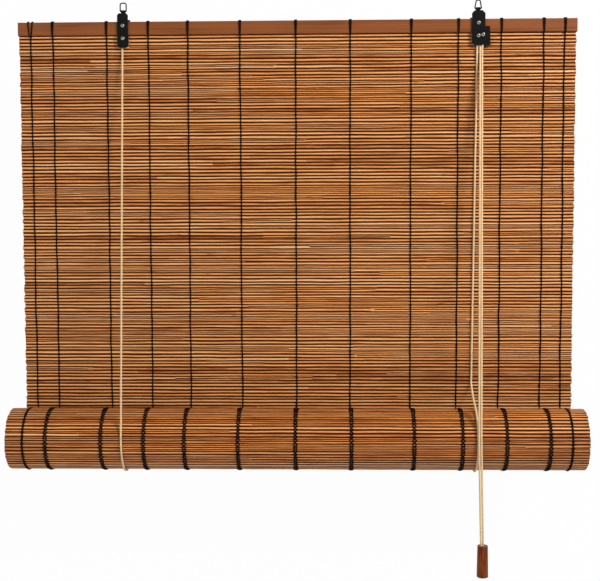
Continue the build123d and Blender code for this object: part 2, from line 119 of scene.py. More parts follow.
# Shares of their height that pieces keep when the roll is raised all the way. Here a cord's share
# only decides that it gets a mesh of its own, and the mat's share is not used
MAT_KEEP, TAUT_KEEP, SLACK_KEEP, REAR_KEEP = 0.219, 0.185, 0.128, 0.22

# The photograph's camera, with its yaw, pitch and roll in degrees, and its light
VIEW_TURNS = (1.58, 3.82, -0.19)
SENSOR_WIDTH, FRAME_WIDTH = 36, 600
LAMPS_AIM, SOFT_LIGHT = (0, -0.03, -0.35), 0.34

# Sizes and colours that a user may change


def length(name, description, default):
    """A size in metres."""
    kind = {"unit": "LENGTH", "subtype": "DISTANCE"}
    return FloatProperty(name=name, description=description, default=default, min=0, **kind)


def colour(name, *screen):
    """A colour given as it looks on screen, in steps of 255."""
    return FloatVectorProperty(
        name=name,
        description=f"Colour of the blind's {name.lower()}",
        default=[linear(step) for step in screen],
        min=0,
        max=1,
        subtype="COLOR",
    )


def linear(step):
    """One channel of a screen colour as light."""
    share = step / 255
    return share / 12.92 if share <= 0.04045 else ((share + 0.055) / 1.055) ** 2.4


class MatSizes(PropertyGroup):
    width: length("Width", "Length of each reed", 0.8)
    pitch: length("Reed pitch", "Distance from one reed to the next", 0.0048)
    depth: length("Reed depth", "Thickness of a reed from front to back", 0.0037)
    press: length("Press", "How far two neighbours press into each other", 0.00022)
    wander: length("Wander", "How far a seam between reeds strays from straight", 0.0005)
    uneven: length("Unevenness", "How far a whole seam may lie from its place", 0.0006)
    rows: IntProperty(name="Rows", description="Reeds in the hanging part", default=120, min=1)
    seed: IntProperty(name="Seed", description="Start of the random draws", default=7, min=0)


class ThreadSizes(PropertyGroup):
    ply: length("Ply radius", "Radius of one ply of a warp thread", 0.00072)
    twist: length("Twist", "How far a ply stands from its thread's middle", 0.00062)
    lattice: length("Lattice", "How far a stitch swings aside on the roll", 0.0031)


class CordSizes(PropertyGroup):
    diameter: length("Diameter", "Thickness of the lift and pull cords", 0.003)
    lay: length("Lay", "Length of one full twist of a cord", 0.009)
    step: length("Step", "Distance between two rings of a cord's skin", 0.0013)


class Finishes(PropertyGroup):
    reed_pale: colour("Palest reeds", 255, 202, 142)
    reed_middle: colour("Middle reeds", 240, 162, 92)
    reed_dark: colour("Darkest reeds", 136, 68, 22)
    roll_pale: colour("Palest rolled reeds", 250, 190, 124)
    roll_middle: colour("Middle rolled reeds", 232, 150, 80)
    roll_dark: colour("Darkest rolled reeds", 130, 64, 22)
    # Painted shade on the reeds' flanks, which turn away from the front towards the seams
    flank_shade: colour("Reed flanks", 176, 88, 18)
    # Painted shade that darkens the seams between the reeds
    seam: colour("Seams between reeds", 34, 4, 0)
    rail: colour("Slats", 136, 76, 36)
    rail_dark: colour("Slat grain", 98, 48, 18)
    thread: colour("Warp threads", 38, 18, 8)
    thread_dark: colour("Thread hollows", 12, 4, 1)
    cord: colour("Cords", 250, 222, 176)
    # Painted shade in the hollows between a cord's strands
    cord_hollow_shade: colour("Cord hollows", 206, 164, 108)
    steel: colour("Black steel", 17, 16, 16)
    bright: colour("Rivets and wire", 176, 174, 164)
    nylon: colour("Wheels", 38, 36, 35)
    tassel: colour("Tassel", 146, 72, 32)
    tassel_dark: colour("Tassel grain", 84, 36, 14)


class StageSizes(PropertyGroup):
    view_x: length("Across", "Camera to the right of the blind's middle", 0.041)
    view_y: length("Away", "Camera's distance into the room", 1.528)
    view_drop: length("Drop", "Camera below the hooks", 0.311)
    focus: FloatProperty(name="Focal length", description="In pixels of the picture", default=1052)
    lamp: FloatProperty(name="Lamp", description="Power of the main lamp", default=49, unit="POWER")
    fill: FloatProperty(name="Fill", description="Power of the fill lamp", default=9, unit="POWER")


def sizes(name):
    """One of the property groups above."""
    return getattr(bpy.context.scene, name)


# Shader nodes, written as expressions


class Value:
    """A number socket that takes part in arithmetic."""

    def __init__(self, finish, socket):
        self.finish = finish
        self.socket = socket

    def _with(self, operation, *pair):
        return self.finish.node("Math", {"operation": operation}, dict(enumerate(pair)))

    def __add__(self, other):
        return self._with("ADD", self, other)

    def __sub__(self, other):
        return self._with("SUBTRACT", self, other)

    def __rsub__(self, other):
        return self._with("SUBTRACT", other, self)

    def __mul__(self, other):
        return self._with("MULTIPLY", self, other)

    __radd__ = __add__
    __rmul__ = __mul__


class Finish:
    """A material and the nodes that make its pattern."""

    def __init__(self, name, **uniform):
        self.shades = sizes("blind_finishes")
        self.material = bpy.data.materials.new(name)
        self.material.use_nodes = True
        self.tree = self.material.node_tree
        self.tree.nodes.clear()
        self.output = self.tree.nodes.new("ShaderNodeOutputMaterial")
        self.shader = self.tree.nodes.new("ShaderNodeBsdfPrincipled")
        self.tree.links.new(self.shader.outputs[0], self.output.inputs[0])
        for socket, value in uniform.items():
            self.shader.inputs[socket.replace("_", " ")].default_value = value

    def node(self, kind, settings=None, inputs=None, output=0):
        """Makes a node: its settings first, then the values or links of its sockets."""
        made = self.tree.nodes.new("ShaderNode" + kind)
        for key, value in (settings or {}).items():
            if key == "stops":
                while len(made.color_ramp.elements) < len(value):
                    made.color_ramp.elements.new(0.5)
                for element, (place, shade) in zip(made.color_ramp.elements, value):
                    element.position = place
                    element.color = (*shade[:3], 1)
            else:
                setattr(made, key, value)
        for key, value in (inputs or {}).items():
            self.feed(made.inputs[key], value)
        return Value(self, made.outputs[output])

    def feed(self, socket, value):
        """Links a socket, or sets it."""
        if isinstance(value, Value):
            self.tree.links.new(value.socket, socket)
        elif hasattr(value, "__len__") and socket.type == "RGBA":
            socket.default_value = (*value[:3], 1)
        else:
            socket.default_value = value

    def attribute(self, name, output="Fac"):
        """A value stored on the mesh's points."""
        return self.node("Attribute", {"attribute_name": name}, output=output)

    def stretch(self, vector, scale):
        """A vector, stretched."""
        return self.node("Mapping", {}, {"Vector": vector, "Scale": scale})

    def place(self, scale):
        """Object coordinates, stretched."""
        return self.stretch(self.node("TexCoord", output="Object"), scale)

    def noise(self, vector, scale, detail=2.0, roughness=0.5):
        """Soft noise between 0 and 1."""
        inputs = {"Vector": vector, "Scale": scale, "Detail": detail, "Roughness": roughness}
        return self.node("TexNoise", {}, inputs, "Fac")

    def speckle(self, scale, detail=2.0, roughness=0.5):
        """Noise in space, with a scale for each axis."""
        return self.noise(self.place(scale), 1, detail, roughness)

    def step(self, value, low, high, to_low=0.0, to_high=1.0):
        """Eases from one value to another as the given one goes from low to high."""
        inputs = {"Value": value, 1: low, 2: high, 3: to_low, 4: to_high}
        return self.node("MapRange", {"interpolation_type": "SMOOTHSTEP"}, inputs)

    def mix(self, share, first, second):
        """Blends two colours."""
        return self.node("Mix", {"data_type": "RGBA"}, {0: share, 6: first, 7: second}, 2)

    def ramp(self, value, *stops):
        """Colours along a value."""
        return self.node("ValToRGB", {"stops": stops}, {0: value})

    def wear(self, base, roughness=None, bump=None, distance=0.0001, strength=0.5, coat=None):
        """Feeds the shader with a colour, and with the roughness, height and lacquer given."""
        self.feed(self.shader.inputs["Base Color"], base)
        if coat is not None:
            self.feed(self.shader.inputs["Coat Weight"], coat)
        if roughness is not None:
            self.feed(self.shader.inputs["Roughness"], roughness)
        if bump is not None:
            inputs = {"Height": bump, "Distance": distance, "Strength": strength}
            self.feed(self.shader.inputs["Normal"], self.node("Bump", {}, inputs))
        return self.material


def reed_finish(name, part):
    """Stained reed: its own tone, fibres and small dark marks, with painted shade on its flanks and
    painted shade in the seams between reeds.
    """
    finish = Finish(name, Specular_IOR_Level=0.04, Coat_Roughness=0.3)
    tones = ("pale", "middle", "dark")
    pale, middle, dark = (getattr(finish.shades, f"{part}_{tone}") for tone in tones)
    fibre = finish.attribute("fibre", "Vector")
    tone = finish.attribute("tone")
    cloudy = finish.noise(fibre, 0.6, 3, 0.6)
    streaks = finish.noise(finish.stretch(fibre, (0.35, 1, 2.6)), 2.2, 3, 0.6)
    fine = finish.noise(finish.stretch(fibre, (0.3, 1, 6)), 5, 2, 0.5)
    level = tone + (cloudy - 0.5) * 0.9 + (streaks - 0.5) * 0.5 + (fine - 0.5) * 0.22
    body = finish.ramp(level, (0.08, dark), (0.5, middle), (0.92, pale))
    marks = finish.step(finish.noise(fibre, 1.15, 2, 0.5), 0.67, 0.76)
    marked = finish.mix(marks * 0.55, body, dark)
    # Painted shade: the reed's flanks are darker than its front, as if turned away from the light
    flank_shade = finish.step(finish.attribute("seam"), 0.08, 0.5)
    flank_shaded = finish.mix(flank_shade * 0.6, marked, finish.shades.flank_shade)
    # Painted shade: each reed darkens towards the seams, where it meets its neighbours
    seam = finish.step(finish.attribute("seam"), 0.28, 0.68)
    seam = seam * finish.step(cloudy, 0.2, 0.75, 1.0, 0.88)
    surface_colour = finish.mix(seam * 0.97, flank_shaded, finish.shades.seam)
    rough = finish.step(streaks, 0.25, 0.75, 0.3, 0.48)
    lacquer = (1 - seam) * 0.7
    return finish.wear(surface_colour, rough, streaks + fine * 0.5, 0.00025, 0.45, lacquer)


def slat_finish():
    """Stained and lacquered slat with grain along its length."""
    finish = Finish("stained_slat", Specular_IOR_Level=0.2)
    grain = finish.noise(finish.place((3, 160, 160)), 1.6, 5, 0.62)
    cloudy = finish.speckle((7, 30, 30))
    level = grain * 0.75 + cloudy * 0.5
    pale = [1.25 * value for value in finish.shades.rail]
    stops = (0.38, finish.shades.rail_dark), (0.58, finish.shades.rail), (0.82, pale)
    body = finish.ramp(level, *stops)
    pores = finish.step(finish.speckle((14, 900, 900)), 0.62, 0.72)
    surface_colour = finish.mix(pores * 0.4, body, finish.shades.rail_dark)
    rough = finish.step(grain, 0.3, 0.7, 0.34, 0.5)
    return finish.wear(surface_colour, rough, grain - pores * 0.5, 0.0002, 0.35)


def thread_finish():
    """Twisted dark yarn, paler on the raised fibres."""
    finish = Finish("warp_yarn", Specular_IOR_Level=0.1)
    hairs = finish.speckle((900, 900, 2600))
    loose = finish.speckle((60, 60, 60))
    raised = finish.step(hairs * 0.6 + loose * 0.4, 0.4, 0.62)
    body = finish.mix(raised, finish.shades.thread_dark, finish.shades.thread)
    return finish.wear(body, finish.step(hairs, 0.3, 0.7, 0.6, 0.9), hairs, 0.0001, 0.5)


def cord_finish():
    """Cream cord, with painted shade in the hollows between its strands."""
    finish = Finish("cream_cord", Sheen_Weight=0.15, Specular_IOR_Level=0.3)
    crest = finish.attribute("crest")
    hairs = finish.speckle((1800, 1800, 1800))
    soiled = finish.speckle((35, 35, 14), 3)
    # Painted shade: darker where the skin dips between strands, paler on their crests
    raised = finish.step(crest + (hairs - 0.5) * 0.5, 0.1, 0.8)
    body = finish.mix(raised, finish.shades.cord_hollow_shade, finish.shades.cord)
    worn = [0.84 * value for value in finish.shades.cord]
    body = finish.mix(finish.step(soiled, 0.5, 0.7) * 0.5, body, worn)
    return finish.wear(body, finish.step(hairs, 0.3, 0.7, 0.66, 0.9), hairs, 0.0001, 0.5)


def steel_finish():
    """Stoved black paint with a faint orange peel, rubbed a little in places."""
    finish = Finish("black_paint", Specular_IOR_Level=0.12)
    peel = finish.speckle((900, 900, 900))
    rubbed = finish.step(finish.speckle((130, 130, 130), 4, 0.65), 0.56, 0.74)
    bare = [2.6 * value for value in finish.shades.steel]
    body = finish.mix(rubbed * 0.6, finish.shades.steel, bare)
    rough = finish.step(peel, 0.3, 0.7, 0.3, 0.42) + rubbed * 0.12
    return finish.wear(body, rough, peel, 0.00005, 0.4)


def bright_finish(name, hollows=()):
    """Plated metal, lightly scuffed, with painted shade in the hollows of the tubular rivets."""
    finish = Finish(name, Metallic=1.0)
    hollow_shade = None
    for x, z in hollows:
        at = finish.node("TexCoord", output="Object")
        inputs = {0: at, 1: (1, 0, 1)}
        flat = finish.node("VectorMath", {"operation": "MULTIPLY"}, inputs)
        inputs = {0: flat, 1: (x, 0, z)}
        away = finish.node("VectorMath", {"operation": "DISTANCE"}, inputs, "Value")
        inside = finish.step(away, 0.0008, 0.0012, 1.0, 0.0)
        hollow_shade = inside if hollow_shade is None else hollow_shade + inside
    scuffs = finish.speckle((500, 500, 2200), 3)
    dull = finish.speckle((160, 160, 160))
    shaded = [0.6 * value for value in finish.shades.bright]
    plated = finish.mix(finish.step(dull, 0.5, 0.72) * 0.5, finish.shades.bright, shaded)
    # Painted shade: the plating turns black inside the bore of each rivet
    if hollow_shade is not None:
        plated = finish.mix(hollow_shade * 0.93, plated, finish.shades.steel)
    return finish.wear(plated, finish.step(scuffs, 0.3, 0.7, 0.22, 0.38), scuffs, 0.00004, 0.3)


def nylon_finish():
    """Moulded nylon, a little chalky."""
    finish = Finish("moulded_nylon")
    grain = finish.speckle((700, 700, 700), 3)
    dusty = [2.2 * value for value in finish.shades.nylon]
    body = finish.mix(finish.step(grain, 0.5, 0.75) * 0.4, finish.shades.nylon, dusty)
    return finish.wear(body, finish.step(grain, 0.3, 0.7, 0.42, 0.6), grain, 0.00005, 0.3)


def tassel_finish():
    """Dark stained turned wood with grain along its height."""
    finish = Finish("turned_wood", Specular_IOR_Level=0.1)
    grain = finish.speckle((420, 420, 26), 5, 0.6)
    body = finish.ramp(grain, (0.35, finish.shades.tassel_dark), (0.62, finish.shades.tassel))
    return finish.wear(body, finish.step(grain, 0.3, 0.7, 0.3, 0.46), grain, 0.0001, 0.3)


# Ways of making a piece


def deselect_all():
    """Nothing selected and no object active."""
    if bpy.context.object and bpy.context.object.mode != "OBJECT":
        bpy.ops.object.mode_set(mode="OBJECT")
    bpy.ops.object.select_all(action="DESELECT")
    bpy.context.view_layer.objects.active = None


def select_only(pieces):
    """Selects the pieces and makes the first of them active."""
    deselect_all()
    for piece in pieces:
        piece.select_set(True)
    bpy.context.view_layer.objects.active = pieces[0]


def points_of(mesh):
    """A mesh's points as an array."""
    flat = np.empty(len(mesh.vertices) * 3)
    mesh.vertices.foreach_get("co", flat)
    return flat.reshape(-1, 3)


def move_points(mesh, points):
    """Writes an array of points back to a mesh."""
    mesh.vertices.foreach_set("co", np.asarray(points, dtype=np.float32).ravel())
    mesh.update()


def store(mesh, name, kind, values):
    """Stores one value for each point of a mesh."""
    attribute = mesh.attributes.get(name) or mesh.attributes.new(name, kind, "POINT")
    key = "vector" if kind == "FLOAT_VECTOR" else "value"
    attribute.data.foreach_set(key, np.asarray(values, dtype=np.float32).ravel())


def smooth(piece, angle=REED_ANGLE):
    """Shades a piece smooth except across sharp edges."""
    select_only([piece])
    bpy.ops.object.shade_smooth_by_angle(angle=radians(angle))


def join(name, pieces):
    """Joins like pieces into one."""
    select_only(pieces)
    if len(pieces) > 1:
        bpy.ops.object.join()
    joined = bpy.context.object
    joined.name = name
    joined.data.name = name
    return joined


def copy_of(piece, name):
    """A copy with a mesh of its own."""
    made = piece.copy()
    made.data = piece.data.copy()
    made.name = name
    bpy.context.scene.collection.objects.link(made)
    return made


def finished(piece, material, slot, body, *nodes):
    """Gives a piece its finish and body, and hides the nodes that it stands for; the slot is not
    used.
    """
    piece.data.materials.clear()
    piece.data.materials.append(material)
    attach(piece, body)
    if nodes:
        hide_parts(*nodes)
    return piece


def rod(name, sides, cuts):
    """A rod of length 1 and radius 1 along X, divided along its length."""
    deselect_all()
    bpy.ops.mesh.primitive_cylinder_add(
        vertices=sides, radius=1, depth=1, end_fill_type="TRIFAN", rotation=(0, pi / 2, 0)
    )
    made = bpy.context.object
    made.name = name
    bpy.ops.object.transform_apply(location=True, rotation=True, scale=True)
    bpy.ops.object.mode_set(mode="EDIT")
    bpy.ops.mesh.select_mode(type="EDGE")
    bpy.ops.mesh.select_all(action="DESELECT")
    bpy.ops.object.mode_set(mode="OBJECT")
    for edge in made.data.edges:
        first, last = (made.data.vertices[v].co for v in edge.vertices)
        edge.select = abs(first.x - last.x) > 0.5
    bpy.ops.object.mode_set(mode="EDIT")
    bpy.ops.mesh.subdivide(number_cuts=cuts)
    bpy.ops.object.mode_set(mode="OBJECT")
    return made


class Line:
    """A wandering line: a few waves of random height and phase."""

    def __init__(self, random, height, offset=0.0):
        self.offset = random.uniform(-1, 1) * offset
        self.waves = []
        for span, share in WAVES:
            reach = share * height * random.uniform(0.5, 1.4)
            self.waves.append((tau / span, reach, random.uniform(0, tau)))

    def __call__(self, x):
        waves = (reach * np.sin(rate * x + phase) for rate, reach, phase in self.waves)
        return self.offset + sum(waves)


def stations(template, start, end):
    """Where along X the points of a rod come to lie between two ends."""
    return start + (end - start) * (points_of(template.data)[:, 0] + 0.5)


def reed(random, template, x, form, tone, spread):
    """Shapes a copy of the template into one reed, with a random tone and grain.

    The form gives, for the points' places along the reed, its middle, the direction outwards
    and its half size that way, and the direction from seam to seam and its half size that way.
    """
    tone = min(max(random.gauss(tone, spread), 0.1), 0.9)
    seed = random.uniform(0, 400)
    made = copy_of(template, "reed")
    points = points_of(made.data)
    lengthways, out, across = points.T
    radius = np.hypot(out, across)
    middle, outward, half_out, sideways, half_side = form
    moved = middle + outward * (out * half_out)[:, None] + sideways * (across * half_side)[:, None]
    dome = np.where(radius < 0.5, 0.0, END_DOME)
    at_end = np.abs(lengthways) > 0.499
    moved[:, 0] = x - np.sign(lengthways) * np.where(at_end, dome, 0)
    move_points(made.data, moved)
    store(made.data, "seam", "FLOAT", np.where(radius < 0.5, 0.5, np.abs(across)))
    store(made.data, "tone", "FLOAT", np.full(len(x), tone))
    fibre = np.column_stack([x / 0.035, seed + 0.5 * out, 0.5 * across + seed * 0.37])
    store(made.data, "fibre", "FLOAT_VECTOR", fibre)
    return made


def nurbs(route, resolution=14):
    """The points of the smooth line that a route's points steer."""
    line = bpy.data.curves.new("route", "CURVE")
    line.dimensions = "3D"
    spline = line.splines.new("NURBS")
    spline.points.add(len(route) - 1)
    for point, at in zip(spline.points, route):
        point.co = (*at, 1)
    spline.order_u = 3
    spline.use_endpoint_u = True
    spline.resolution_u = resolution
    holder = bpy.data.objects.new("route", line)
    bpy.context.scene.collection.objects.link(holder)
    bpy.context.view_layer.update()
    mesh = bpy.data.meshes.new_from_object(holder)
    points = points_of(mesh)
    bpy.data.objects.remove(holder)
    bpy.data.curves.remove(line)
    bpy.data.meshes.remove(mesh)
    return points


def evenly(points, step):
    """Points along the same line, evenly spaced, and the line's length."""
    gaps = np.linalg.norm(np.diff(points, axis=0), axis=1)
    along = np.concatenate([[0], np.cumsum(gaps)])
    wanted = np.linspace(0, along[-1], max(3, ceil(along[-1] / step) + 1))
    spaced = [np.interp(wanted, along, points[:, axis]) for axis in range(3)]
    return np.column_stack(spaced), along[-1]


def skin(name, line, radius, shape, turn=None):
    """A closed tube along a line: a ring of points at each place, which may turn as it goes.

    The shape gives the share of the radius for each point of a ring.
    """
    tangent = np.gradient(line, axis=0)
    tangent /= np.linalg.norm(tangent, axis=1)[:, None]
    side = np.cross(tangent[0], (1, 0.3, 0.2))
    side /= np.linalg.norm(side)
    angles = np.arange(len(shape)) * tau / len(shape)
    reach = (radius * np.asarray(shape))[:, None]
    rings = []
    for at, (place, ahead) in enumerate(zip(line, tangent)):
        side = side - ahead * np.dot(side, ahead)
        side /= np.linalg.norm(side)
        other = np.cross(ahead, side)
        wide = angles if turn is None else angles + turn[at]
        rings.append(place + reach * (np.cos(wide)[:, None] * side + np.sin(wide)[:, None] * other))
    sides = len(shape)
    points = np.vstack([*rings, line[0], line[-1]])
    last, pole = (len(line) - 1) * sides, len(line) * sides
    pairs = [(k, (k + 1) % sides) for k in range(sides)]
    faces = []
    for low in range(0, last, sides):
        high = low + sides
        faces += [(low + k, low + n, high + n, high + k) for k, n in pairs]
    for k, n in pairs:
        faces += [(pole, n, k), (pole + 1, last + k, last + n)]
    mesh = bpy.data.meshes.new(name)
    mesh.from_pydata(points.tolist(), [], faces)
    mesh.update()
    crest = [(value - min(shape)) / max(max(shape) - min(shape), 0.01) for value in shape]
    store(mesh, "crest", "FLOAT", crest * len(line) + [0.5, 0.5])
    made = bpy.data.objects.new(name, mesh)
    bpy.context.scene.collection.objects.link(made)
    return made


def cord(name, route):
    """A twisted cord of four strands that follows a route."""
    size = sizes("blind_cords")
    line, span = evenly(nurbs(route), size.step)
    turn = np.linspace(0, tau * span / size.lay, len(line))
    piece = skin(name, line, size.diameter / 2, FOUR_STRANDS, turn)
    smooth(piece, STRAND_ANGLE)
    return piece, line, span


# Routes of the cords, in metres, as the lines of the real ones run


def roll_point(x, angle, radius=FRONT_RADIUS):
    """A point beside the roll at an angle from its rear, over the top towards the room."""
    return (x, AXIS_Y + radius * cos(radians(angle)), AXIS_Z + radius * sin(radians(angle)))


def on_line(first, last, z):
    """The point at a height on the line through two points."""
    share = (z - first[2]) / (last[2] - first[2])
    return tuple(Vector(first).lerp(Vector(last), share))


def before(first, last, gap=0.0003):
    """The end of a run, drawn back towards its start."""
    run = Vector(last) - Vector(first)
    return tuple(Vector(last) - run.normalized() * gap)


def under_roll(x, first):
    """Corners of a cord that lies under the roll, from an angle at its front to its rear."""
    count = round((360 - first) / 42)
    turn = (360 - first) / count
    corner = SLING_RADIUS / cos(radians(turn / 2))
    middle = [roll_point(x, first + turn * (k + 0.5), corner) for k in range(count)]
    return [roll_point(x, first), *middle, roll_point(x, 360)]


JOIN_Z, HAND_CORD_X, HAND_CORD_Y, SOCKET_Z = -0.062, 0.2534, -0.0902, -0.797
NEAR_Z = JOIN_Z - 0.015
FRONT_ANGLE, SLACK_ANGLE = 171.15, 111
SLING_X = {"left": -0.2487, "right": 0.2467}
EXIT_LEFT = (-0.2552, -0.0028, -0.056)
EXIT_RIGHT = (0.2526, -0.0042, -0.056)
TOUCH_LEFT = roll_point(SLING_X["left"], FRONT_ANGLE)
JOIN_LEFT = on_line(EXIT_LEFT, TOUCH_LEFT, JOIN_Z)
SLACK_CORNER = (0.2473, -0.0042, -0.556)
TOUCH_RIGHT = roll_point(SLING_X["right"], SLACK_ANGLE)
JOIN_RIGHT = on_line(EXIT_RIGHT, SLACK_CORNER, JOIN_Z)
PULL_EXIT = {"a": (0.2599, -0.0028, -0.056), "b": (0.2569, -0.0028, -0.056)}
PULL_TOUCH = {
    key: roll_point(x, FRONT_ANGLE, 0.0493) for key, x in (("a", 0.25045), ("b", 0.24715))
}
PULL_JOIN = {key: on_line(PULL_EXIT[key], PULL_TOUCH[key], JOIN_Z) for key in "ab"}
PULL_END = {"a": (0.2549, HAND_CORD_Y, SOCKET_Z), "b": (0.2519, HAND_CORD_Y, SOCKET_Z)}


def over_rail(first, last, y, low):
    """Corners of a cord that goes up behind one place on the rail and down behind another."""
    return [(first, y, low), (first, y, -0.028), (last, y, -0.028), (last, y, low)]


CROSS_ROUTE = [JOIN_LEFT, EXIT_LEFT, *over_rail(-0.258, 0.258, 0.0075, -0.0465)]
CROSS_ROUTE += [PULL_EXIT["a"], PULL_JOIN["a"]]
TOP_ROUTE = [JOIN_RIGHT, EXIT_RIGHT, *over_rail(0.25, 0.258, 0.0119, -0.0495)]
TOP_ROUTE += [PULL_EXIT["b"], PULL_JOIN["b"]]



# How the reeds fill their rows


def split(random, spans, chance):
    """Each span with the shares of its row that it fills at its two ends.

    By chance a span is two slivers, one that runs out as the other widens.
    """
    parts = []
    for part, (start, end) in enumerate(spans):
        if random.random() < chance:
            narrow, wide = random.uniform(0.12, 0.4), random.uniform(0.6, 0.88)
            turn = (narrow, wide) if random.random() < 0.5 else (wide, narrow)
            parts.append((part, start, end, ((0, 0), turn)))
            parts.append((part, start, end - SLIVER_STEP, (turn, (1, 1))))
        else:
            parts.append((part, start, end, ((0, 0), (1, 1))))
    return parts


def filled(x, ends, seams, shares, press):
    """Middle, half width and share of the part of a row that a reed fills, along the reed."""
    (start, end), (upper, lower) = ends, seams
    along = np.clip((x - start) / (end - start), 0, 1)
    first, last = (a + (b - a) * along for a, b in shares)
    high = upper + (lower - upper) * first
    under = upper + (lower - upper) * last
    return (high + under) / 2, (high - under + press) / 2, last - first


# One operator for each group of pieces


class MakeMat(Operator):
    """Makes the hanging reeds, each one with its own seams, tone and ragged ends"""

    bl_idname = "blind.make_mat"
    bl_label = "Hanging reeds"

    def execute(self, context):
        size = sizes("blind_mat")
        random = Random(size.seed)
        template = rod("reed_template", 12, 30)
        short = rod("short_reed_template", 12, 15)
        left, right = RAIL_MIDDLE_X - size.width / 2, RAIL_MIDDLE_X + size.width / 2
        seams = [Line(random, size.wander, size.uneven) for _ in range(size.rows + 1)]
        seams[0] = seams[-1] = lambda x: 0 * x
        made = []
        for row in range(size.rows):
            top = RAIL_BOTTOM_Z - size.pitch * row - (0.0001 if row == 0 else 0)
            low = RAIL_BOTTOM_Z - size.pitch * (row + 1)
            whole = row >= WINDOW_ROWS
            spans = self.spans(random, whole, left, right)
            lap = LAP_STEP if whole and len(spans) > 1 else 0
            chance = SLIVER_CHANCE if whole else 0
            for part, start, end, shares in split(random, spans, chance):
                depth = size.depth * random.uniform(0.43, 0.53)
                maker = template if end - start > size.width / 2 else short
                x = stations(maker, start, end)
                swell = Line(random, 0.14)(x)
                seam_pair = (top + seams[row](x), low + seams[row + 1](x))
                centre, half, share = filled(x, (start, end), seam_pair, shares, size.press)
                y = (lap if part % 2 else -lap) + 0.0005 * swell
                line = np.column_stack([x, y, centre])
                form = (line, BACKWARD, depth * (1 + swell) * share**THINNING, UPWARD, half)
                made.append(reed(random, maker, x, form, 0.5, 0.13))
        for spare in (template, short):
            bpy.data.objects.remove(spare)
        mat = join("hanging_reeds", made)
        smooth(mat)
        finish = reed_finish("stained_reed", "reed")
        finished(mat, finish, "reed", "headrail_body", "reed_mat")
        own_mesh(mat)
        return {"FINISHED"}

    def spans(self, random, whole, left, right):
        """The stretches of a row that its reeds fill, lapped where one follows another."""
        start, end = left + random.uniform(0, 0.0016), right - random.uniform(0, 0.0016)
        if not whole:
            a, b = WINDOW_HALVES
            return [(start, -BLOCK_X - a), (-BLOCK_X + a, BLOCK_X - b), (BLOCK_X + b, end)]
        if random.random() >= CUT_CHANCE:
            return [(start, end)]
        cut = random.uniform(left + 0.08, right - 0.08)
        lap = random.uniform(0.0015, 0.004)
        spans = [(start, cut + lap), (cut - lap, end)]
        if random.random() < SECOND_CUT_CHANCE:
            on_left = cut < RAIL_MIDDLE_X
            room = (cut + 0.04, right - 0.02) if on_left else (left + 0.02, cut - 0.04)
            cut = random.uniform(*room)
            place = 1 if cut > spans[1][0] else 0
            start, end = spans[place]
            spans[place:place + 1] = [(start, cut + lap), (cut - lap, end)]
        return spans
def rolled_places(first, last, pitch):
    """Where the reeds of some half turns lie: half circle's middle and radius, angle, room."""
    found = []
    for half in range(first, last):
        middle = AXIS_Y - (TURN_PITCH / 2 if half % 2 else 0)
        radius = TURN_RADIUS - half * TURN_PITCH / 2
        start = 180 if half % 2 else 0
        count = round(pi * radius / pitch)
        for k in range(count):
            angle = radians(start - 180 * (k + 0.5) / count)
            found.append((middle, radius, angle, pi * radius / count))
    return found


def on_roll(x, middle, radius, angle):
    """A line of points on the spiral, and the directions out from it and along it."""
    line = np.zeros((len(x), 3))
    line[:, 1] = middle + radius * cos(angle)
    line[:, 2] = AXIS_Z + radius * sin(angle)
    out = np.array((0, cos(angle), sin(angle)))
    return line, out, np.array((0, -sin(angle), cos(angle)))


class MakeRoll(Operator):
    """Makes the roll: full reeds on its outer turn, and plainer ones that show at its ends"""

    bl_idname = "blind.make_roll"
    bl_label = "Rolled reeds"

    def execute(self, context):
        size = sizes("blind_mat")
        random = Random(size.seed + 1)
        low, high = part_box("rolled_mat")
        left, right = low.x, high.x
        finish = reed_finish("stained_rolled_reed", "roll")
        outside = join("rolled_reeds", self.outer(random, size, left, right))
        smooth(outside)
        finished(outside, finish, "reed", "roll_body", "rolled_mat")
        inside = join("inner_rolled_reeds", self.inner(random, size, left, right))
        smooth(inside)
        finished(inside, finish, "reed", "roll_body")
        return {"FINISHED"}

    def outer(self, random, size, left, right):
        """The reeds of the turn that shows, each one with seams and tone of its own."""
        places = rolled_places(0, 2, size.pitch)
        seams = [Line(random, size.wander * 0.8, size.uneven) for _ in range(len(places) + 1)]
        template = rod("rolled_template", 12, 34)
        made = []
        for k, (middle, radius, angle, room) in enumerate(places):
            spans = [(left + random.uniform(0, 0.0014), right - random.uniform(0, 0.0014))]
            if random.random() < ROLL_CUT_CHANCE:
                (start, end), cut = spans[0], random.uniform(left + 0.05, right - 0.05)
                spans = [(start, cut + 0.002), (cut - 0.002, end)]
            for part, start, end, shares in split(random, spans, SLIVER_CHANCE):
                depth = size.depth * random.uniform(0.46, 0.53) * (0.97 if part else 1)
                x = stations(template, start, end)
                swell = Line(random, 0.1)(x)
                seam_pair = (room / 2 + seams[k](x), -room / 2 + seams[k + 1](x))
                centre, half, share = filled(x, (start, end), seam_pair, shares, size.press)
                line, out, ahead = on_roll(x, middle, radius, angle)
                line = line + ahead * centre[:, None]
                form = (line, out, depth * (1 + swell) * share**THINNING, ahead, half)
                made.append(reed(random, template, x, form, 0.48, 0.13))
        bpy.data.objects.remove(template)
        return made

    def inner(self, random, size, left, right):
        """The plain reeds of the other turns."""
        template = rod("inner_template", 10, 1)
        made = []
        for middle, radius, angle, room in rolled_places(2, 2 * TURNS, size.pitch):
            depth = size.depth * random.uniform(0.45, 0.52)
            start = left + random.uniform(0.0005, 0.004)
            end = right - random.uniform(0.0005, 0.004)
            x = stations(template, start, end)
            line, out, ahead = on_roll(x, middle, radius, angle)
            form = (line, out, depth, ahead, room * 0.47)
            made.append(reed(random, template, x, form, 0.42, 0.16))
        bpy.data.objects.remove(template)
        return made



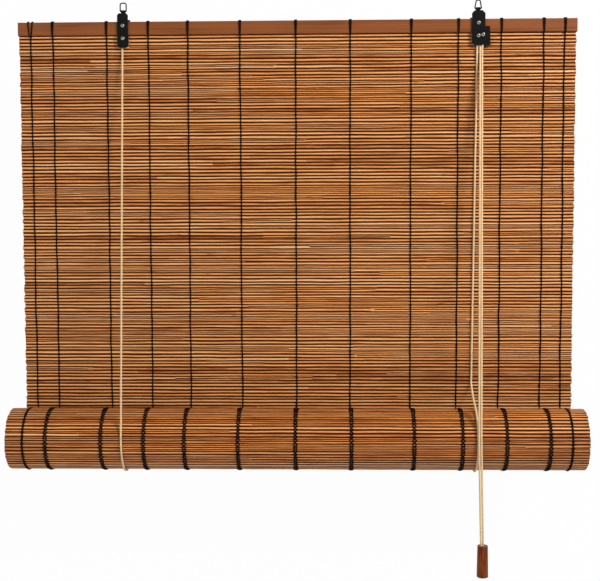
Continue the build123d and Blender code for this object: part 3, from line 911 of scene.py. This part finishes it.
class MakeThreads(Operator):
    """Makes the warp threads: twisted on the mat, looped over the rail and laced on the roll"""

    bl_idname = "blind.make_threads"
    bl_label = "Warp threads"

    def execute(self, context):
        size, mat = sizes("blind_threads"), sizes("blind_mat")
        random = Random(mat.seed + 2)
        yarn = thread_finish()
        hanging = self.hanging(size, mat)
        laced = [self.laced(size, mat, swing) for swing in (size.lattice, EDGE_LATTICE)]
        for number, share in enumerate(COLUMN_SHARES, start=1):
            x = RAIL_MIDDLE_X + share * mat.width
            sway = Line(random, 0.0007)
            thread = copy_of(hanging, f"hanging_thread_{number:02d}")
            points = points_of(thread.data)
            points[:, 0] += x + sway(points[:, 2]) - sway(np.array(RAIL_BOTTOM_Z))
            move_points(thread.data, points)
            node = f"warp_thread_{number:02d}"
            finished(thread, yarn, "black_thread", "headrail_body", node)
            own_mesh(thread)
            splay = WIDE_SPLAY if number == 1 else SPLAY
            loops = [self.loop(x, offset, size) for offset in splay]
            loops = join(f"rail_thread_{number:02d}", loops)
            smooth(loops, STRAND_ANGLE)
            finished(loops, yarn, "black_thread", "headrail_body")
            at_edge = number in (1, len(COLUMN_SHARES))
            lacing = copy_of(laced[at_edge], f"rolled_thread_{number:02d}")
            points = points_of(lacing.data)
            points[:, 0] += x
            move_points(lacing.data, points)
            finished(lacing, yarn, "black_thread", "roll_body", f"roll_thread_{number:02d}")
        for spare in (hanging, *laced):
            bpy.data.objects.remove(spare)
        return {"FINISHED"}

    def hanging(self, size, mat):
        """Two twisted plies down the front of the reeds and one down their back."""
        bottom = RAIL_BOTTOM_Z - mat.rows * mat.pitch
        z = np.linspace(RAIL_BOTTOM_Z - 0.0002, bottom, mat.rows * 6 + 1)
        row = (RAIL_BOTTOM_Z - z) / mat.pitch
        dip = 0.00022 * np.cos(tau * row)
        strands = []
        for ply in (0, 1):
            turn = pi * row + ply * pi
            y = -0.00222 - size.twist * np.sin(turn) * 0.7 + dip
            line = np.column_stack([size.twist * np.cos(turn), y, z])
            strands.append(skin("ply", line, size.ply, FIVE_SIDED))
        behind = np.column_stack([0.0003 * np.sin(pi * row), 0.0021 - dip, z])[::2]
        strands.append(skin("ply", behind, size.ply * 1.25, FIVE_SIDED))
        made = join("hanging_thread", strands)
        smooth(made, STRAND_ANGLE)
        return made

    def loop(self, x, offset, size):
        """One thread up the rail's front, over it and down its back, drawn together below it."""
        y, top = RAIL_HALF_DEPTH + size.ply * 0.9, RAIL_TOP_Z + size.ply
        # Share of the offset, height, and the places in front of the rail and behind it
        corners = (
            (0.25, RAIL_BOTTOM_Z - 0.0024, -0.0023, 0.0021),
            (0.25, RAIL_BOTTOM_Z - 0.0008, -0.003, 0.003),
            (0.4, RAIL_BOTTOM_Z - 0.0004, -y - 0.0001, y),
            (0.6, RAIL_BOTTOM_Z + 0.004, -y, y),
            (1, RAIL_TOP_Z - 0.002, -y, y),
            (1, top, -y, y),
            (1, top, -0.002, 0.002),
        )
        route = [(x + offset * share, front, z) for share, z, front, _ in corners]
        route += [(x + offset * share, rear, z) for share, z, _, rear in reversed(corners)]
        line, _ = evenly(nurbs(route, 8), 0.0008)
        return skin("loop", line, size.ply, ROUND)

    def laced(self, size, mat, swing):
        """Two strands that cross over each reed of the outer turn and change sides between."""
        places = rolled_places(0, 2, mat.pitch)
        strands = []
        for side in (-1, 1):
            line = []
            for k, (middle, radius, angle, room) in enumerate(places):
                half = room / radius / 2
                hand = side * (1 if k % 2 else -1)
                for share, lift, aside in STITCH:
                    at = angle + half * share
                    reach = radius + lift + (0.0002 * side if share == 0 else 0)
                    y, z = middle + reach * cos(at), AXIS_Z + reach * sin(at)
                    line.append((hand * aside * swing, y, z))
            strands.append(skin("lacing", np.array(line), size.ply * 1.15, FIVE_SIDED))
        made = join("lacing", strands)
        smooth(made, STRAND_ANGLE)
        return made


class MakeCords(Operator):
    """Makes the lift cords, the cords behind the rail and the two pull cords"""

    bl_idname = "blind.make_cords"
    bl_label = "Cords"

    def execute(self, context):
        material = cord_finish()
        size = sizes("blind_cords")

        def held(name, body, node, route, keep=0):
            piece, _, _ = cord(name, route)
            finished(piece, material, "cotton_cord", body, node)
            if keep:
                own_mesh(piece)

        for side, start in (("left", FRONT_ANGLE), ("right", SLACK_ANGLE)):
            route = under_roll(SLING_X[side], start)
            held(f"cord_under_roll_{side}", "sling_body", f"{side}_sling", route)
        end = before(JOIN_LEFT, TOUCH_LEFT)
        near = on_line(JOIN_LEFT, end, NEAR_Z)
        route = [JOIN_LEFT, near, end]
        held("lift_cord_left", "headrail_body", "left_lift_leg", route, TAUT_KEEP)
        end = before(SLACK_CORNER, TOUCH_RIGHT)
        near = on_line(JOIN_RIGHT, SLACK_CORNER, NEAR_Z)
        before_turn = on_line(JOIN_RIGHT, SLACK_CORNER, -0.53)
        route = [JOIN_RIGHT, near, before_turn, SLACK_CORNER, end]
        held("lift_cord_right", "headrail_body", "right_lift_leg", route, SLACK_KEEP)
        for side, x in SLING_X.items():
            top = (x, 0.00665, -0.0405)
            end = (x, 0.0042, AXIS_Z + 0.0003)
            route = [top, on_line(top, end, -0.06), end]
            name, node = f"lift_cord_rear_{side}", f"{side}_rear_leg"
            held(name, "headrail_body", node, route, REAR_KEEP)
            knot = self.knot(f"staple_knot_{side}", top, 0.0011, 0.00075)
            finished(knot, material, "cotton_cord", "headrail_body")
        held("cord_behind_rail", "headrail_body", "cross_cord", CROSS_ROUTE)
        held("cord_over_right_wheel", "headrail_body", "right_top_cord", TOP_ROUTE)
        knot = self.knot("tassel_knot", (HAND_CORD_X, HAND_CORD_Y, -0.8016), 0.0022, 0.0013)
        finished(knot, material, "cotton_cord", "tassel_body", "pull_knot")
        for name in "ab":
            start, end = PULL_JOIN[name], before(PULL_JOIN[name], PULL_TOUCH[name])
            near = on_line(start, end, NEAR_Z)
            piece, line, span = cord(f"pull_cord_{name}_above", [start, near, end])
            finished(piece, material, "cotton_cord", "headrail_body", f"pull_cord_{name}_upper")
            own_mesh(piece)
            start = PULL_TOUCH[name]
            front = (start[0], -0.0925, AXIS_Z)
            route = [start, front, on_line(front, PULL_END[name], -0.66), PULL_END[name]]
            piece, line, span = cord(f"pull_cord_{name}_below", route)
            piece.data.materials.append(material)
            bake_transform(piece)
            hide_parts(f"pull_cord_{name}_lower")
        return {"FINISHED"}

    def knot(self, name, middle, reach, radius):
        """A small overhand knot, its line a trefoil."""
        corners = []
        for k in range(25):
            t = tau * k / 24
            x = reach * (sin(t) + 2 * sin(2 * t)) / 3
            z = reach * (cos(t) - 2 * cos(2 * t)) / 3
            y = -reach * 0.75 * sin(3 * t)
            corners.append((middle[0] + x, middle[1] + y, middle[2] + z))
        line, _ = evenly(nurbs(corners, 6), radius * 0.7)
        piece = skin(name, line, radius, FOUR_STRANDS, np.linspace(0, 9, len(line)))
        smooth(piece, STRAND_ANGLE)
        return piece


class DressHardware(Operator):
    """Gives the slats, plates, rivets, rings, wheels, staples, lock and tassel their finishes"""

    bl_idname = "blind.dress_hardware"
    bl_label = "Hardware finishes"

    def execute(self, context):
        by_slot = {
            "stained_slat": slat_finish(),
            "black_steel": steel_finish(),
            "bright_wire": bright_finish("plated_wire"),
            "nylon": nylon_finish(),
            "tassel_wood": tassel_finish(),
        }
        rivets = [(side * BLOCK_X, z) for side in (-1, 1) for z in RIVETS_Z] + [LEVER_RIVET]
        # Rivets with painted shade in their bores
        plated = bright_finish("plated_rivet", rivets)
        by_node = dict.fromkeys(("left_rivets", "right_rivets"), plated)
        by_node["left_hanging_ring"] = by_node["right_hanging_ring"] = by_slot["black_steel"]
        for part in frame["record"]["subparts"]:
            material = by_node.get(part["node"], by_slot.get(part["material_slot"]))
            if material is None:
                continue
            piece = frame["nodes"][part["node"]]
            if not piece.data.materials:
                piece.data.materials.append(material)
            for place in range(len(piece.data.materials)):
                piece.data.materials[place] = material
        return {"FINISHED"}


class SetStage(Operator):
    """Sets up the pale wall and floor, the soft lamps and the camera"""

    bl_idname = "blind.set_stage"
    bl_label = "Stage"

    def execute(self, context):
        stage = sizes("blind_stage")
        self.sheet("studio_wall", (0, 0.11, -0.35), (pi / 2, 0, 0), (8, 3.3), 0.97)
        self.sheet("studio_floor", (0, 0, -1.98), (0, 0, 0), (14, 12), 0.8)
        self.lamp("main_lamp", (1.45, -1.5, 1.0), stage.lamp, 0.7, (1, 0.985, 0.96))
        self.lamp("fill_lamp", (-1.6, -1.9, 0.1), stage.fill, 1.6, (0.96, 0.98, 1))
        self.world()
        self.camera(stage)
        context.scene.view_settings.view_transform = "Standard"
        return {"FINISHED"}

    def sheet(self, name, place, turn, size, glow):
        """A flat sheet of the stage that is only seen from its front."""
        deselect_all()
        bpy.ops.mesh.primitive_plane_add(size=1, location=place, rotation=turn)
        made = bpy.context.object
        made.name = name
        made.scale = (*size, 1)
        bpy.ops.object.transform_apply(location=True, rotation=True, scale=True)
        finish = Finish(name, Roughness=0.9, Specular_IOR_Level=0.1)
        finish.shader.inputs["Base Color"].default_value = (0.9, 0.9, 0.9, 1)
        rays = ("Camera", "Glossy", "Transmission")
        seen = sum(finish.node("LightPath", output=f"Is {ray} Ray") for ray in rays)
        white = finish.node("Emission", {}, {"Color": (1, 1, 1), "Strength": 1.0})
        lit = finish.node("MixShader", {}, {0: seen * glow, 2: white})
        finish.tree.links.new(finish.shader.outputs[0], lit.socket.node.inputs[1])
        clear = finish.node("BsdfTransparent")
        back = finish.node("NewGeometry", output="Backfacing")
        both = finish.node("MixShader", {}, {0: back, 1: lit, 2: clear})
        finish.tree.links.new(both.socket, finish.output.inputs[0])
        made.data.materials.append(finish.material)

    def lamp(self, name, place, power, size, tint):
        """A square soft lamp that points at the blind's middle."""
        data = bpy.data.lights.new(name, "AREA")
        data.energy = power
        data.size = size
        data.color = tint
        made = bpy.data.objects.new(name, data)
        made.location = place
        aim = Vector(LAMPS_AIM) - Vector(place)
        made.rotation_euler = aim.to_track_quat("-Z", "Y").to_euler()
        bpy.context.scene.collection.objects.link(made)

    def world(self):
        """White where it is seen, and plain soft light elsewhere."""
        world = bpy.data.worlds.new("studio")
        bpy.context.scene.world = world
        world.use_nodes = True
        tree = world.node_tree
        tree.nodes.clear()
        kinds = ("OutputWorld", "MixShader", "Background", "Background", "LightPath", "Math")
        made = [tree.nodes.new("ShaderNode" + kind) for kind in kinds]
        output, mixed, soft, white, path, both = made
        both.operation = "MAXIMUM"
        for background, strength in ((soft, SOFT_LIGHT), (white, 1.0)):
            background.inputs["Strength"].default_value = strength
            background.inputs["Color"].default_value = (1, 1, 1, 1)
        for place, ray in enumerate(("Camera", "Transmission")):
            tree.links.new(path.outputs[f"Is {ray} Ray"], both.inputs[place])
        for place, node in enumerate((both, soft, white)):
            tree.links.new(node.outputs[0], mixed.inputs[place])
        tree.links.new(mixed.outputs[0], output.inputs[0])

    def camera(self, stage):
        """A camera at the photograph's place, worked out from where known points lie in it."""
        yaw, pitch, roll = (radians(angle) for angle in VIEW_TURNS)
        ahead = Vector((-sin(yaw) * cos(pitch), cos(yaw) * cos(pitch), -sin(pitch)))
        right = Vector((cos(yaw), sin(yaw), 0))
        up = right.cross(ahead)
        across = cos(roll) * right + sin(roll) * up
        upright = cos(roll) * up - sin(roll) * right
        data = bpy.data.cameras.new("camera")
        data.sensor_width = SENSOR_WIDTH
        data.lens = stage.focus / FRAME_WIDTH * SENSOR_WIDTH
        made = bpy.data.objects.new("camera", data)
        turn = Matrix((across, upright, -ahead)).transposed().to_4x4()
        place = (stage.view_x, -stage.view_y, -stage.view_drop)
        made.matrix_world = Matrix.Translation(place) @ turn
        bpy.context.scene.collection.objects.link(made)
        bpy.context.scene.camera = made


class BlindPanel(Panel):
    """Lists the blind's makers in the sidebar"""

    bl_idname = "VIEW3D_PT_blind"
    bl_label = "Reed blind"
    bl_space_type = "VIEW_3D"
    bl_region_type = "UI"
    bl_category = "Blind"

    def draw(self, context):
        for maker in MAKERS:
            self.layout.operator(maker.bl_idname)
        for name, group in GROUPS.items():
            box = self.layout.box()
            for field in group.__annotations__:
                box.prop(getattr(context.scene, name), field)


GROUPS = {
    "blind_mat": MatSizes,
    "blind_threads": ThreadSizes,
    "blind_cords": CordSizes,
    "blind_finishes": Finishes,
    "blind_stage": StageSizes,
}
MAKERS = (SetStage, MakeCords, MakeMat, MakeRoll, MakeThreads, DressHardware)


def register():
    """Registers the property groups, makers and panel."""
    for name, group in GROUPS.items():
        register_class(group)
        setattr(bpy.types.Scene, name, PointerProperty(type=group))
    for maker in (*MAKERS, BlindPanel):
        register_class(maker)


def unregister():
    """Takes them away again."""
    for maker in (BlindPanel, *reversed(MAKERS)):
        unregister_class(maker)
    for name, group in reversed(GROUPS.items()):
        delattr(bpy.types.Scene, name)
        unregister_class(group)


def main():
    """Makes every piece."""
    register()
    for maker in MAKERS:
        group, name = maker.bl_idname.split(".")
        getattr(getattr(bpy.ops, group), name)()
    deselect_all()


if __name__ == "__main__":
    main()
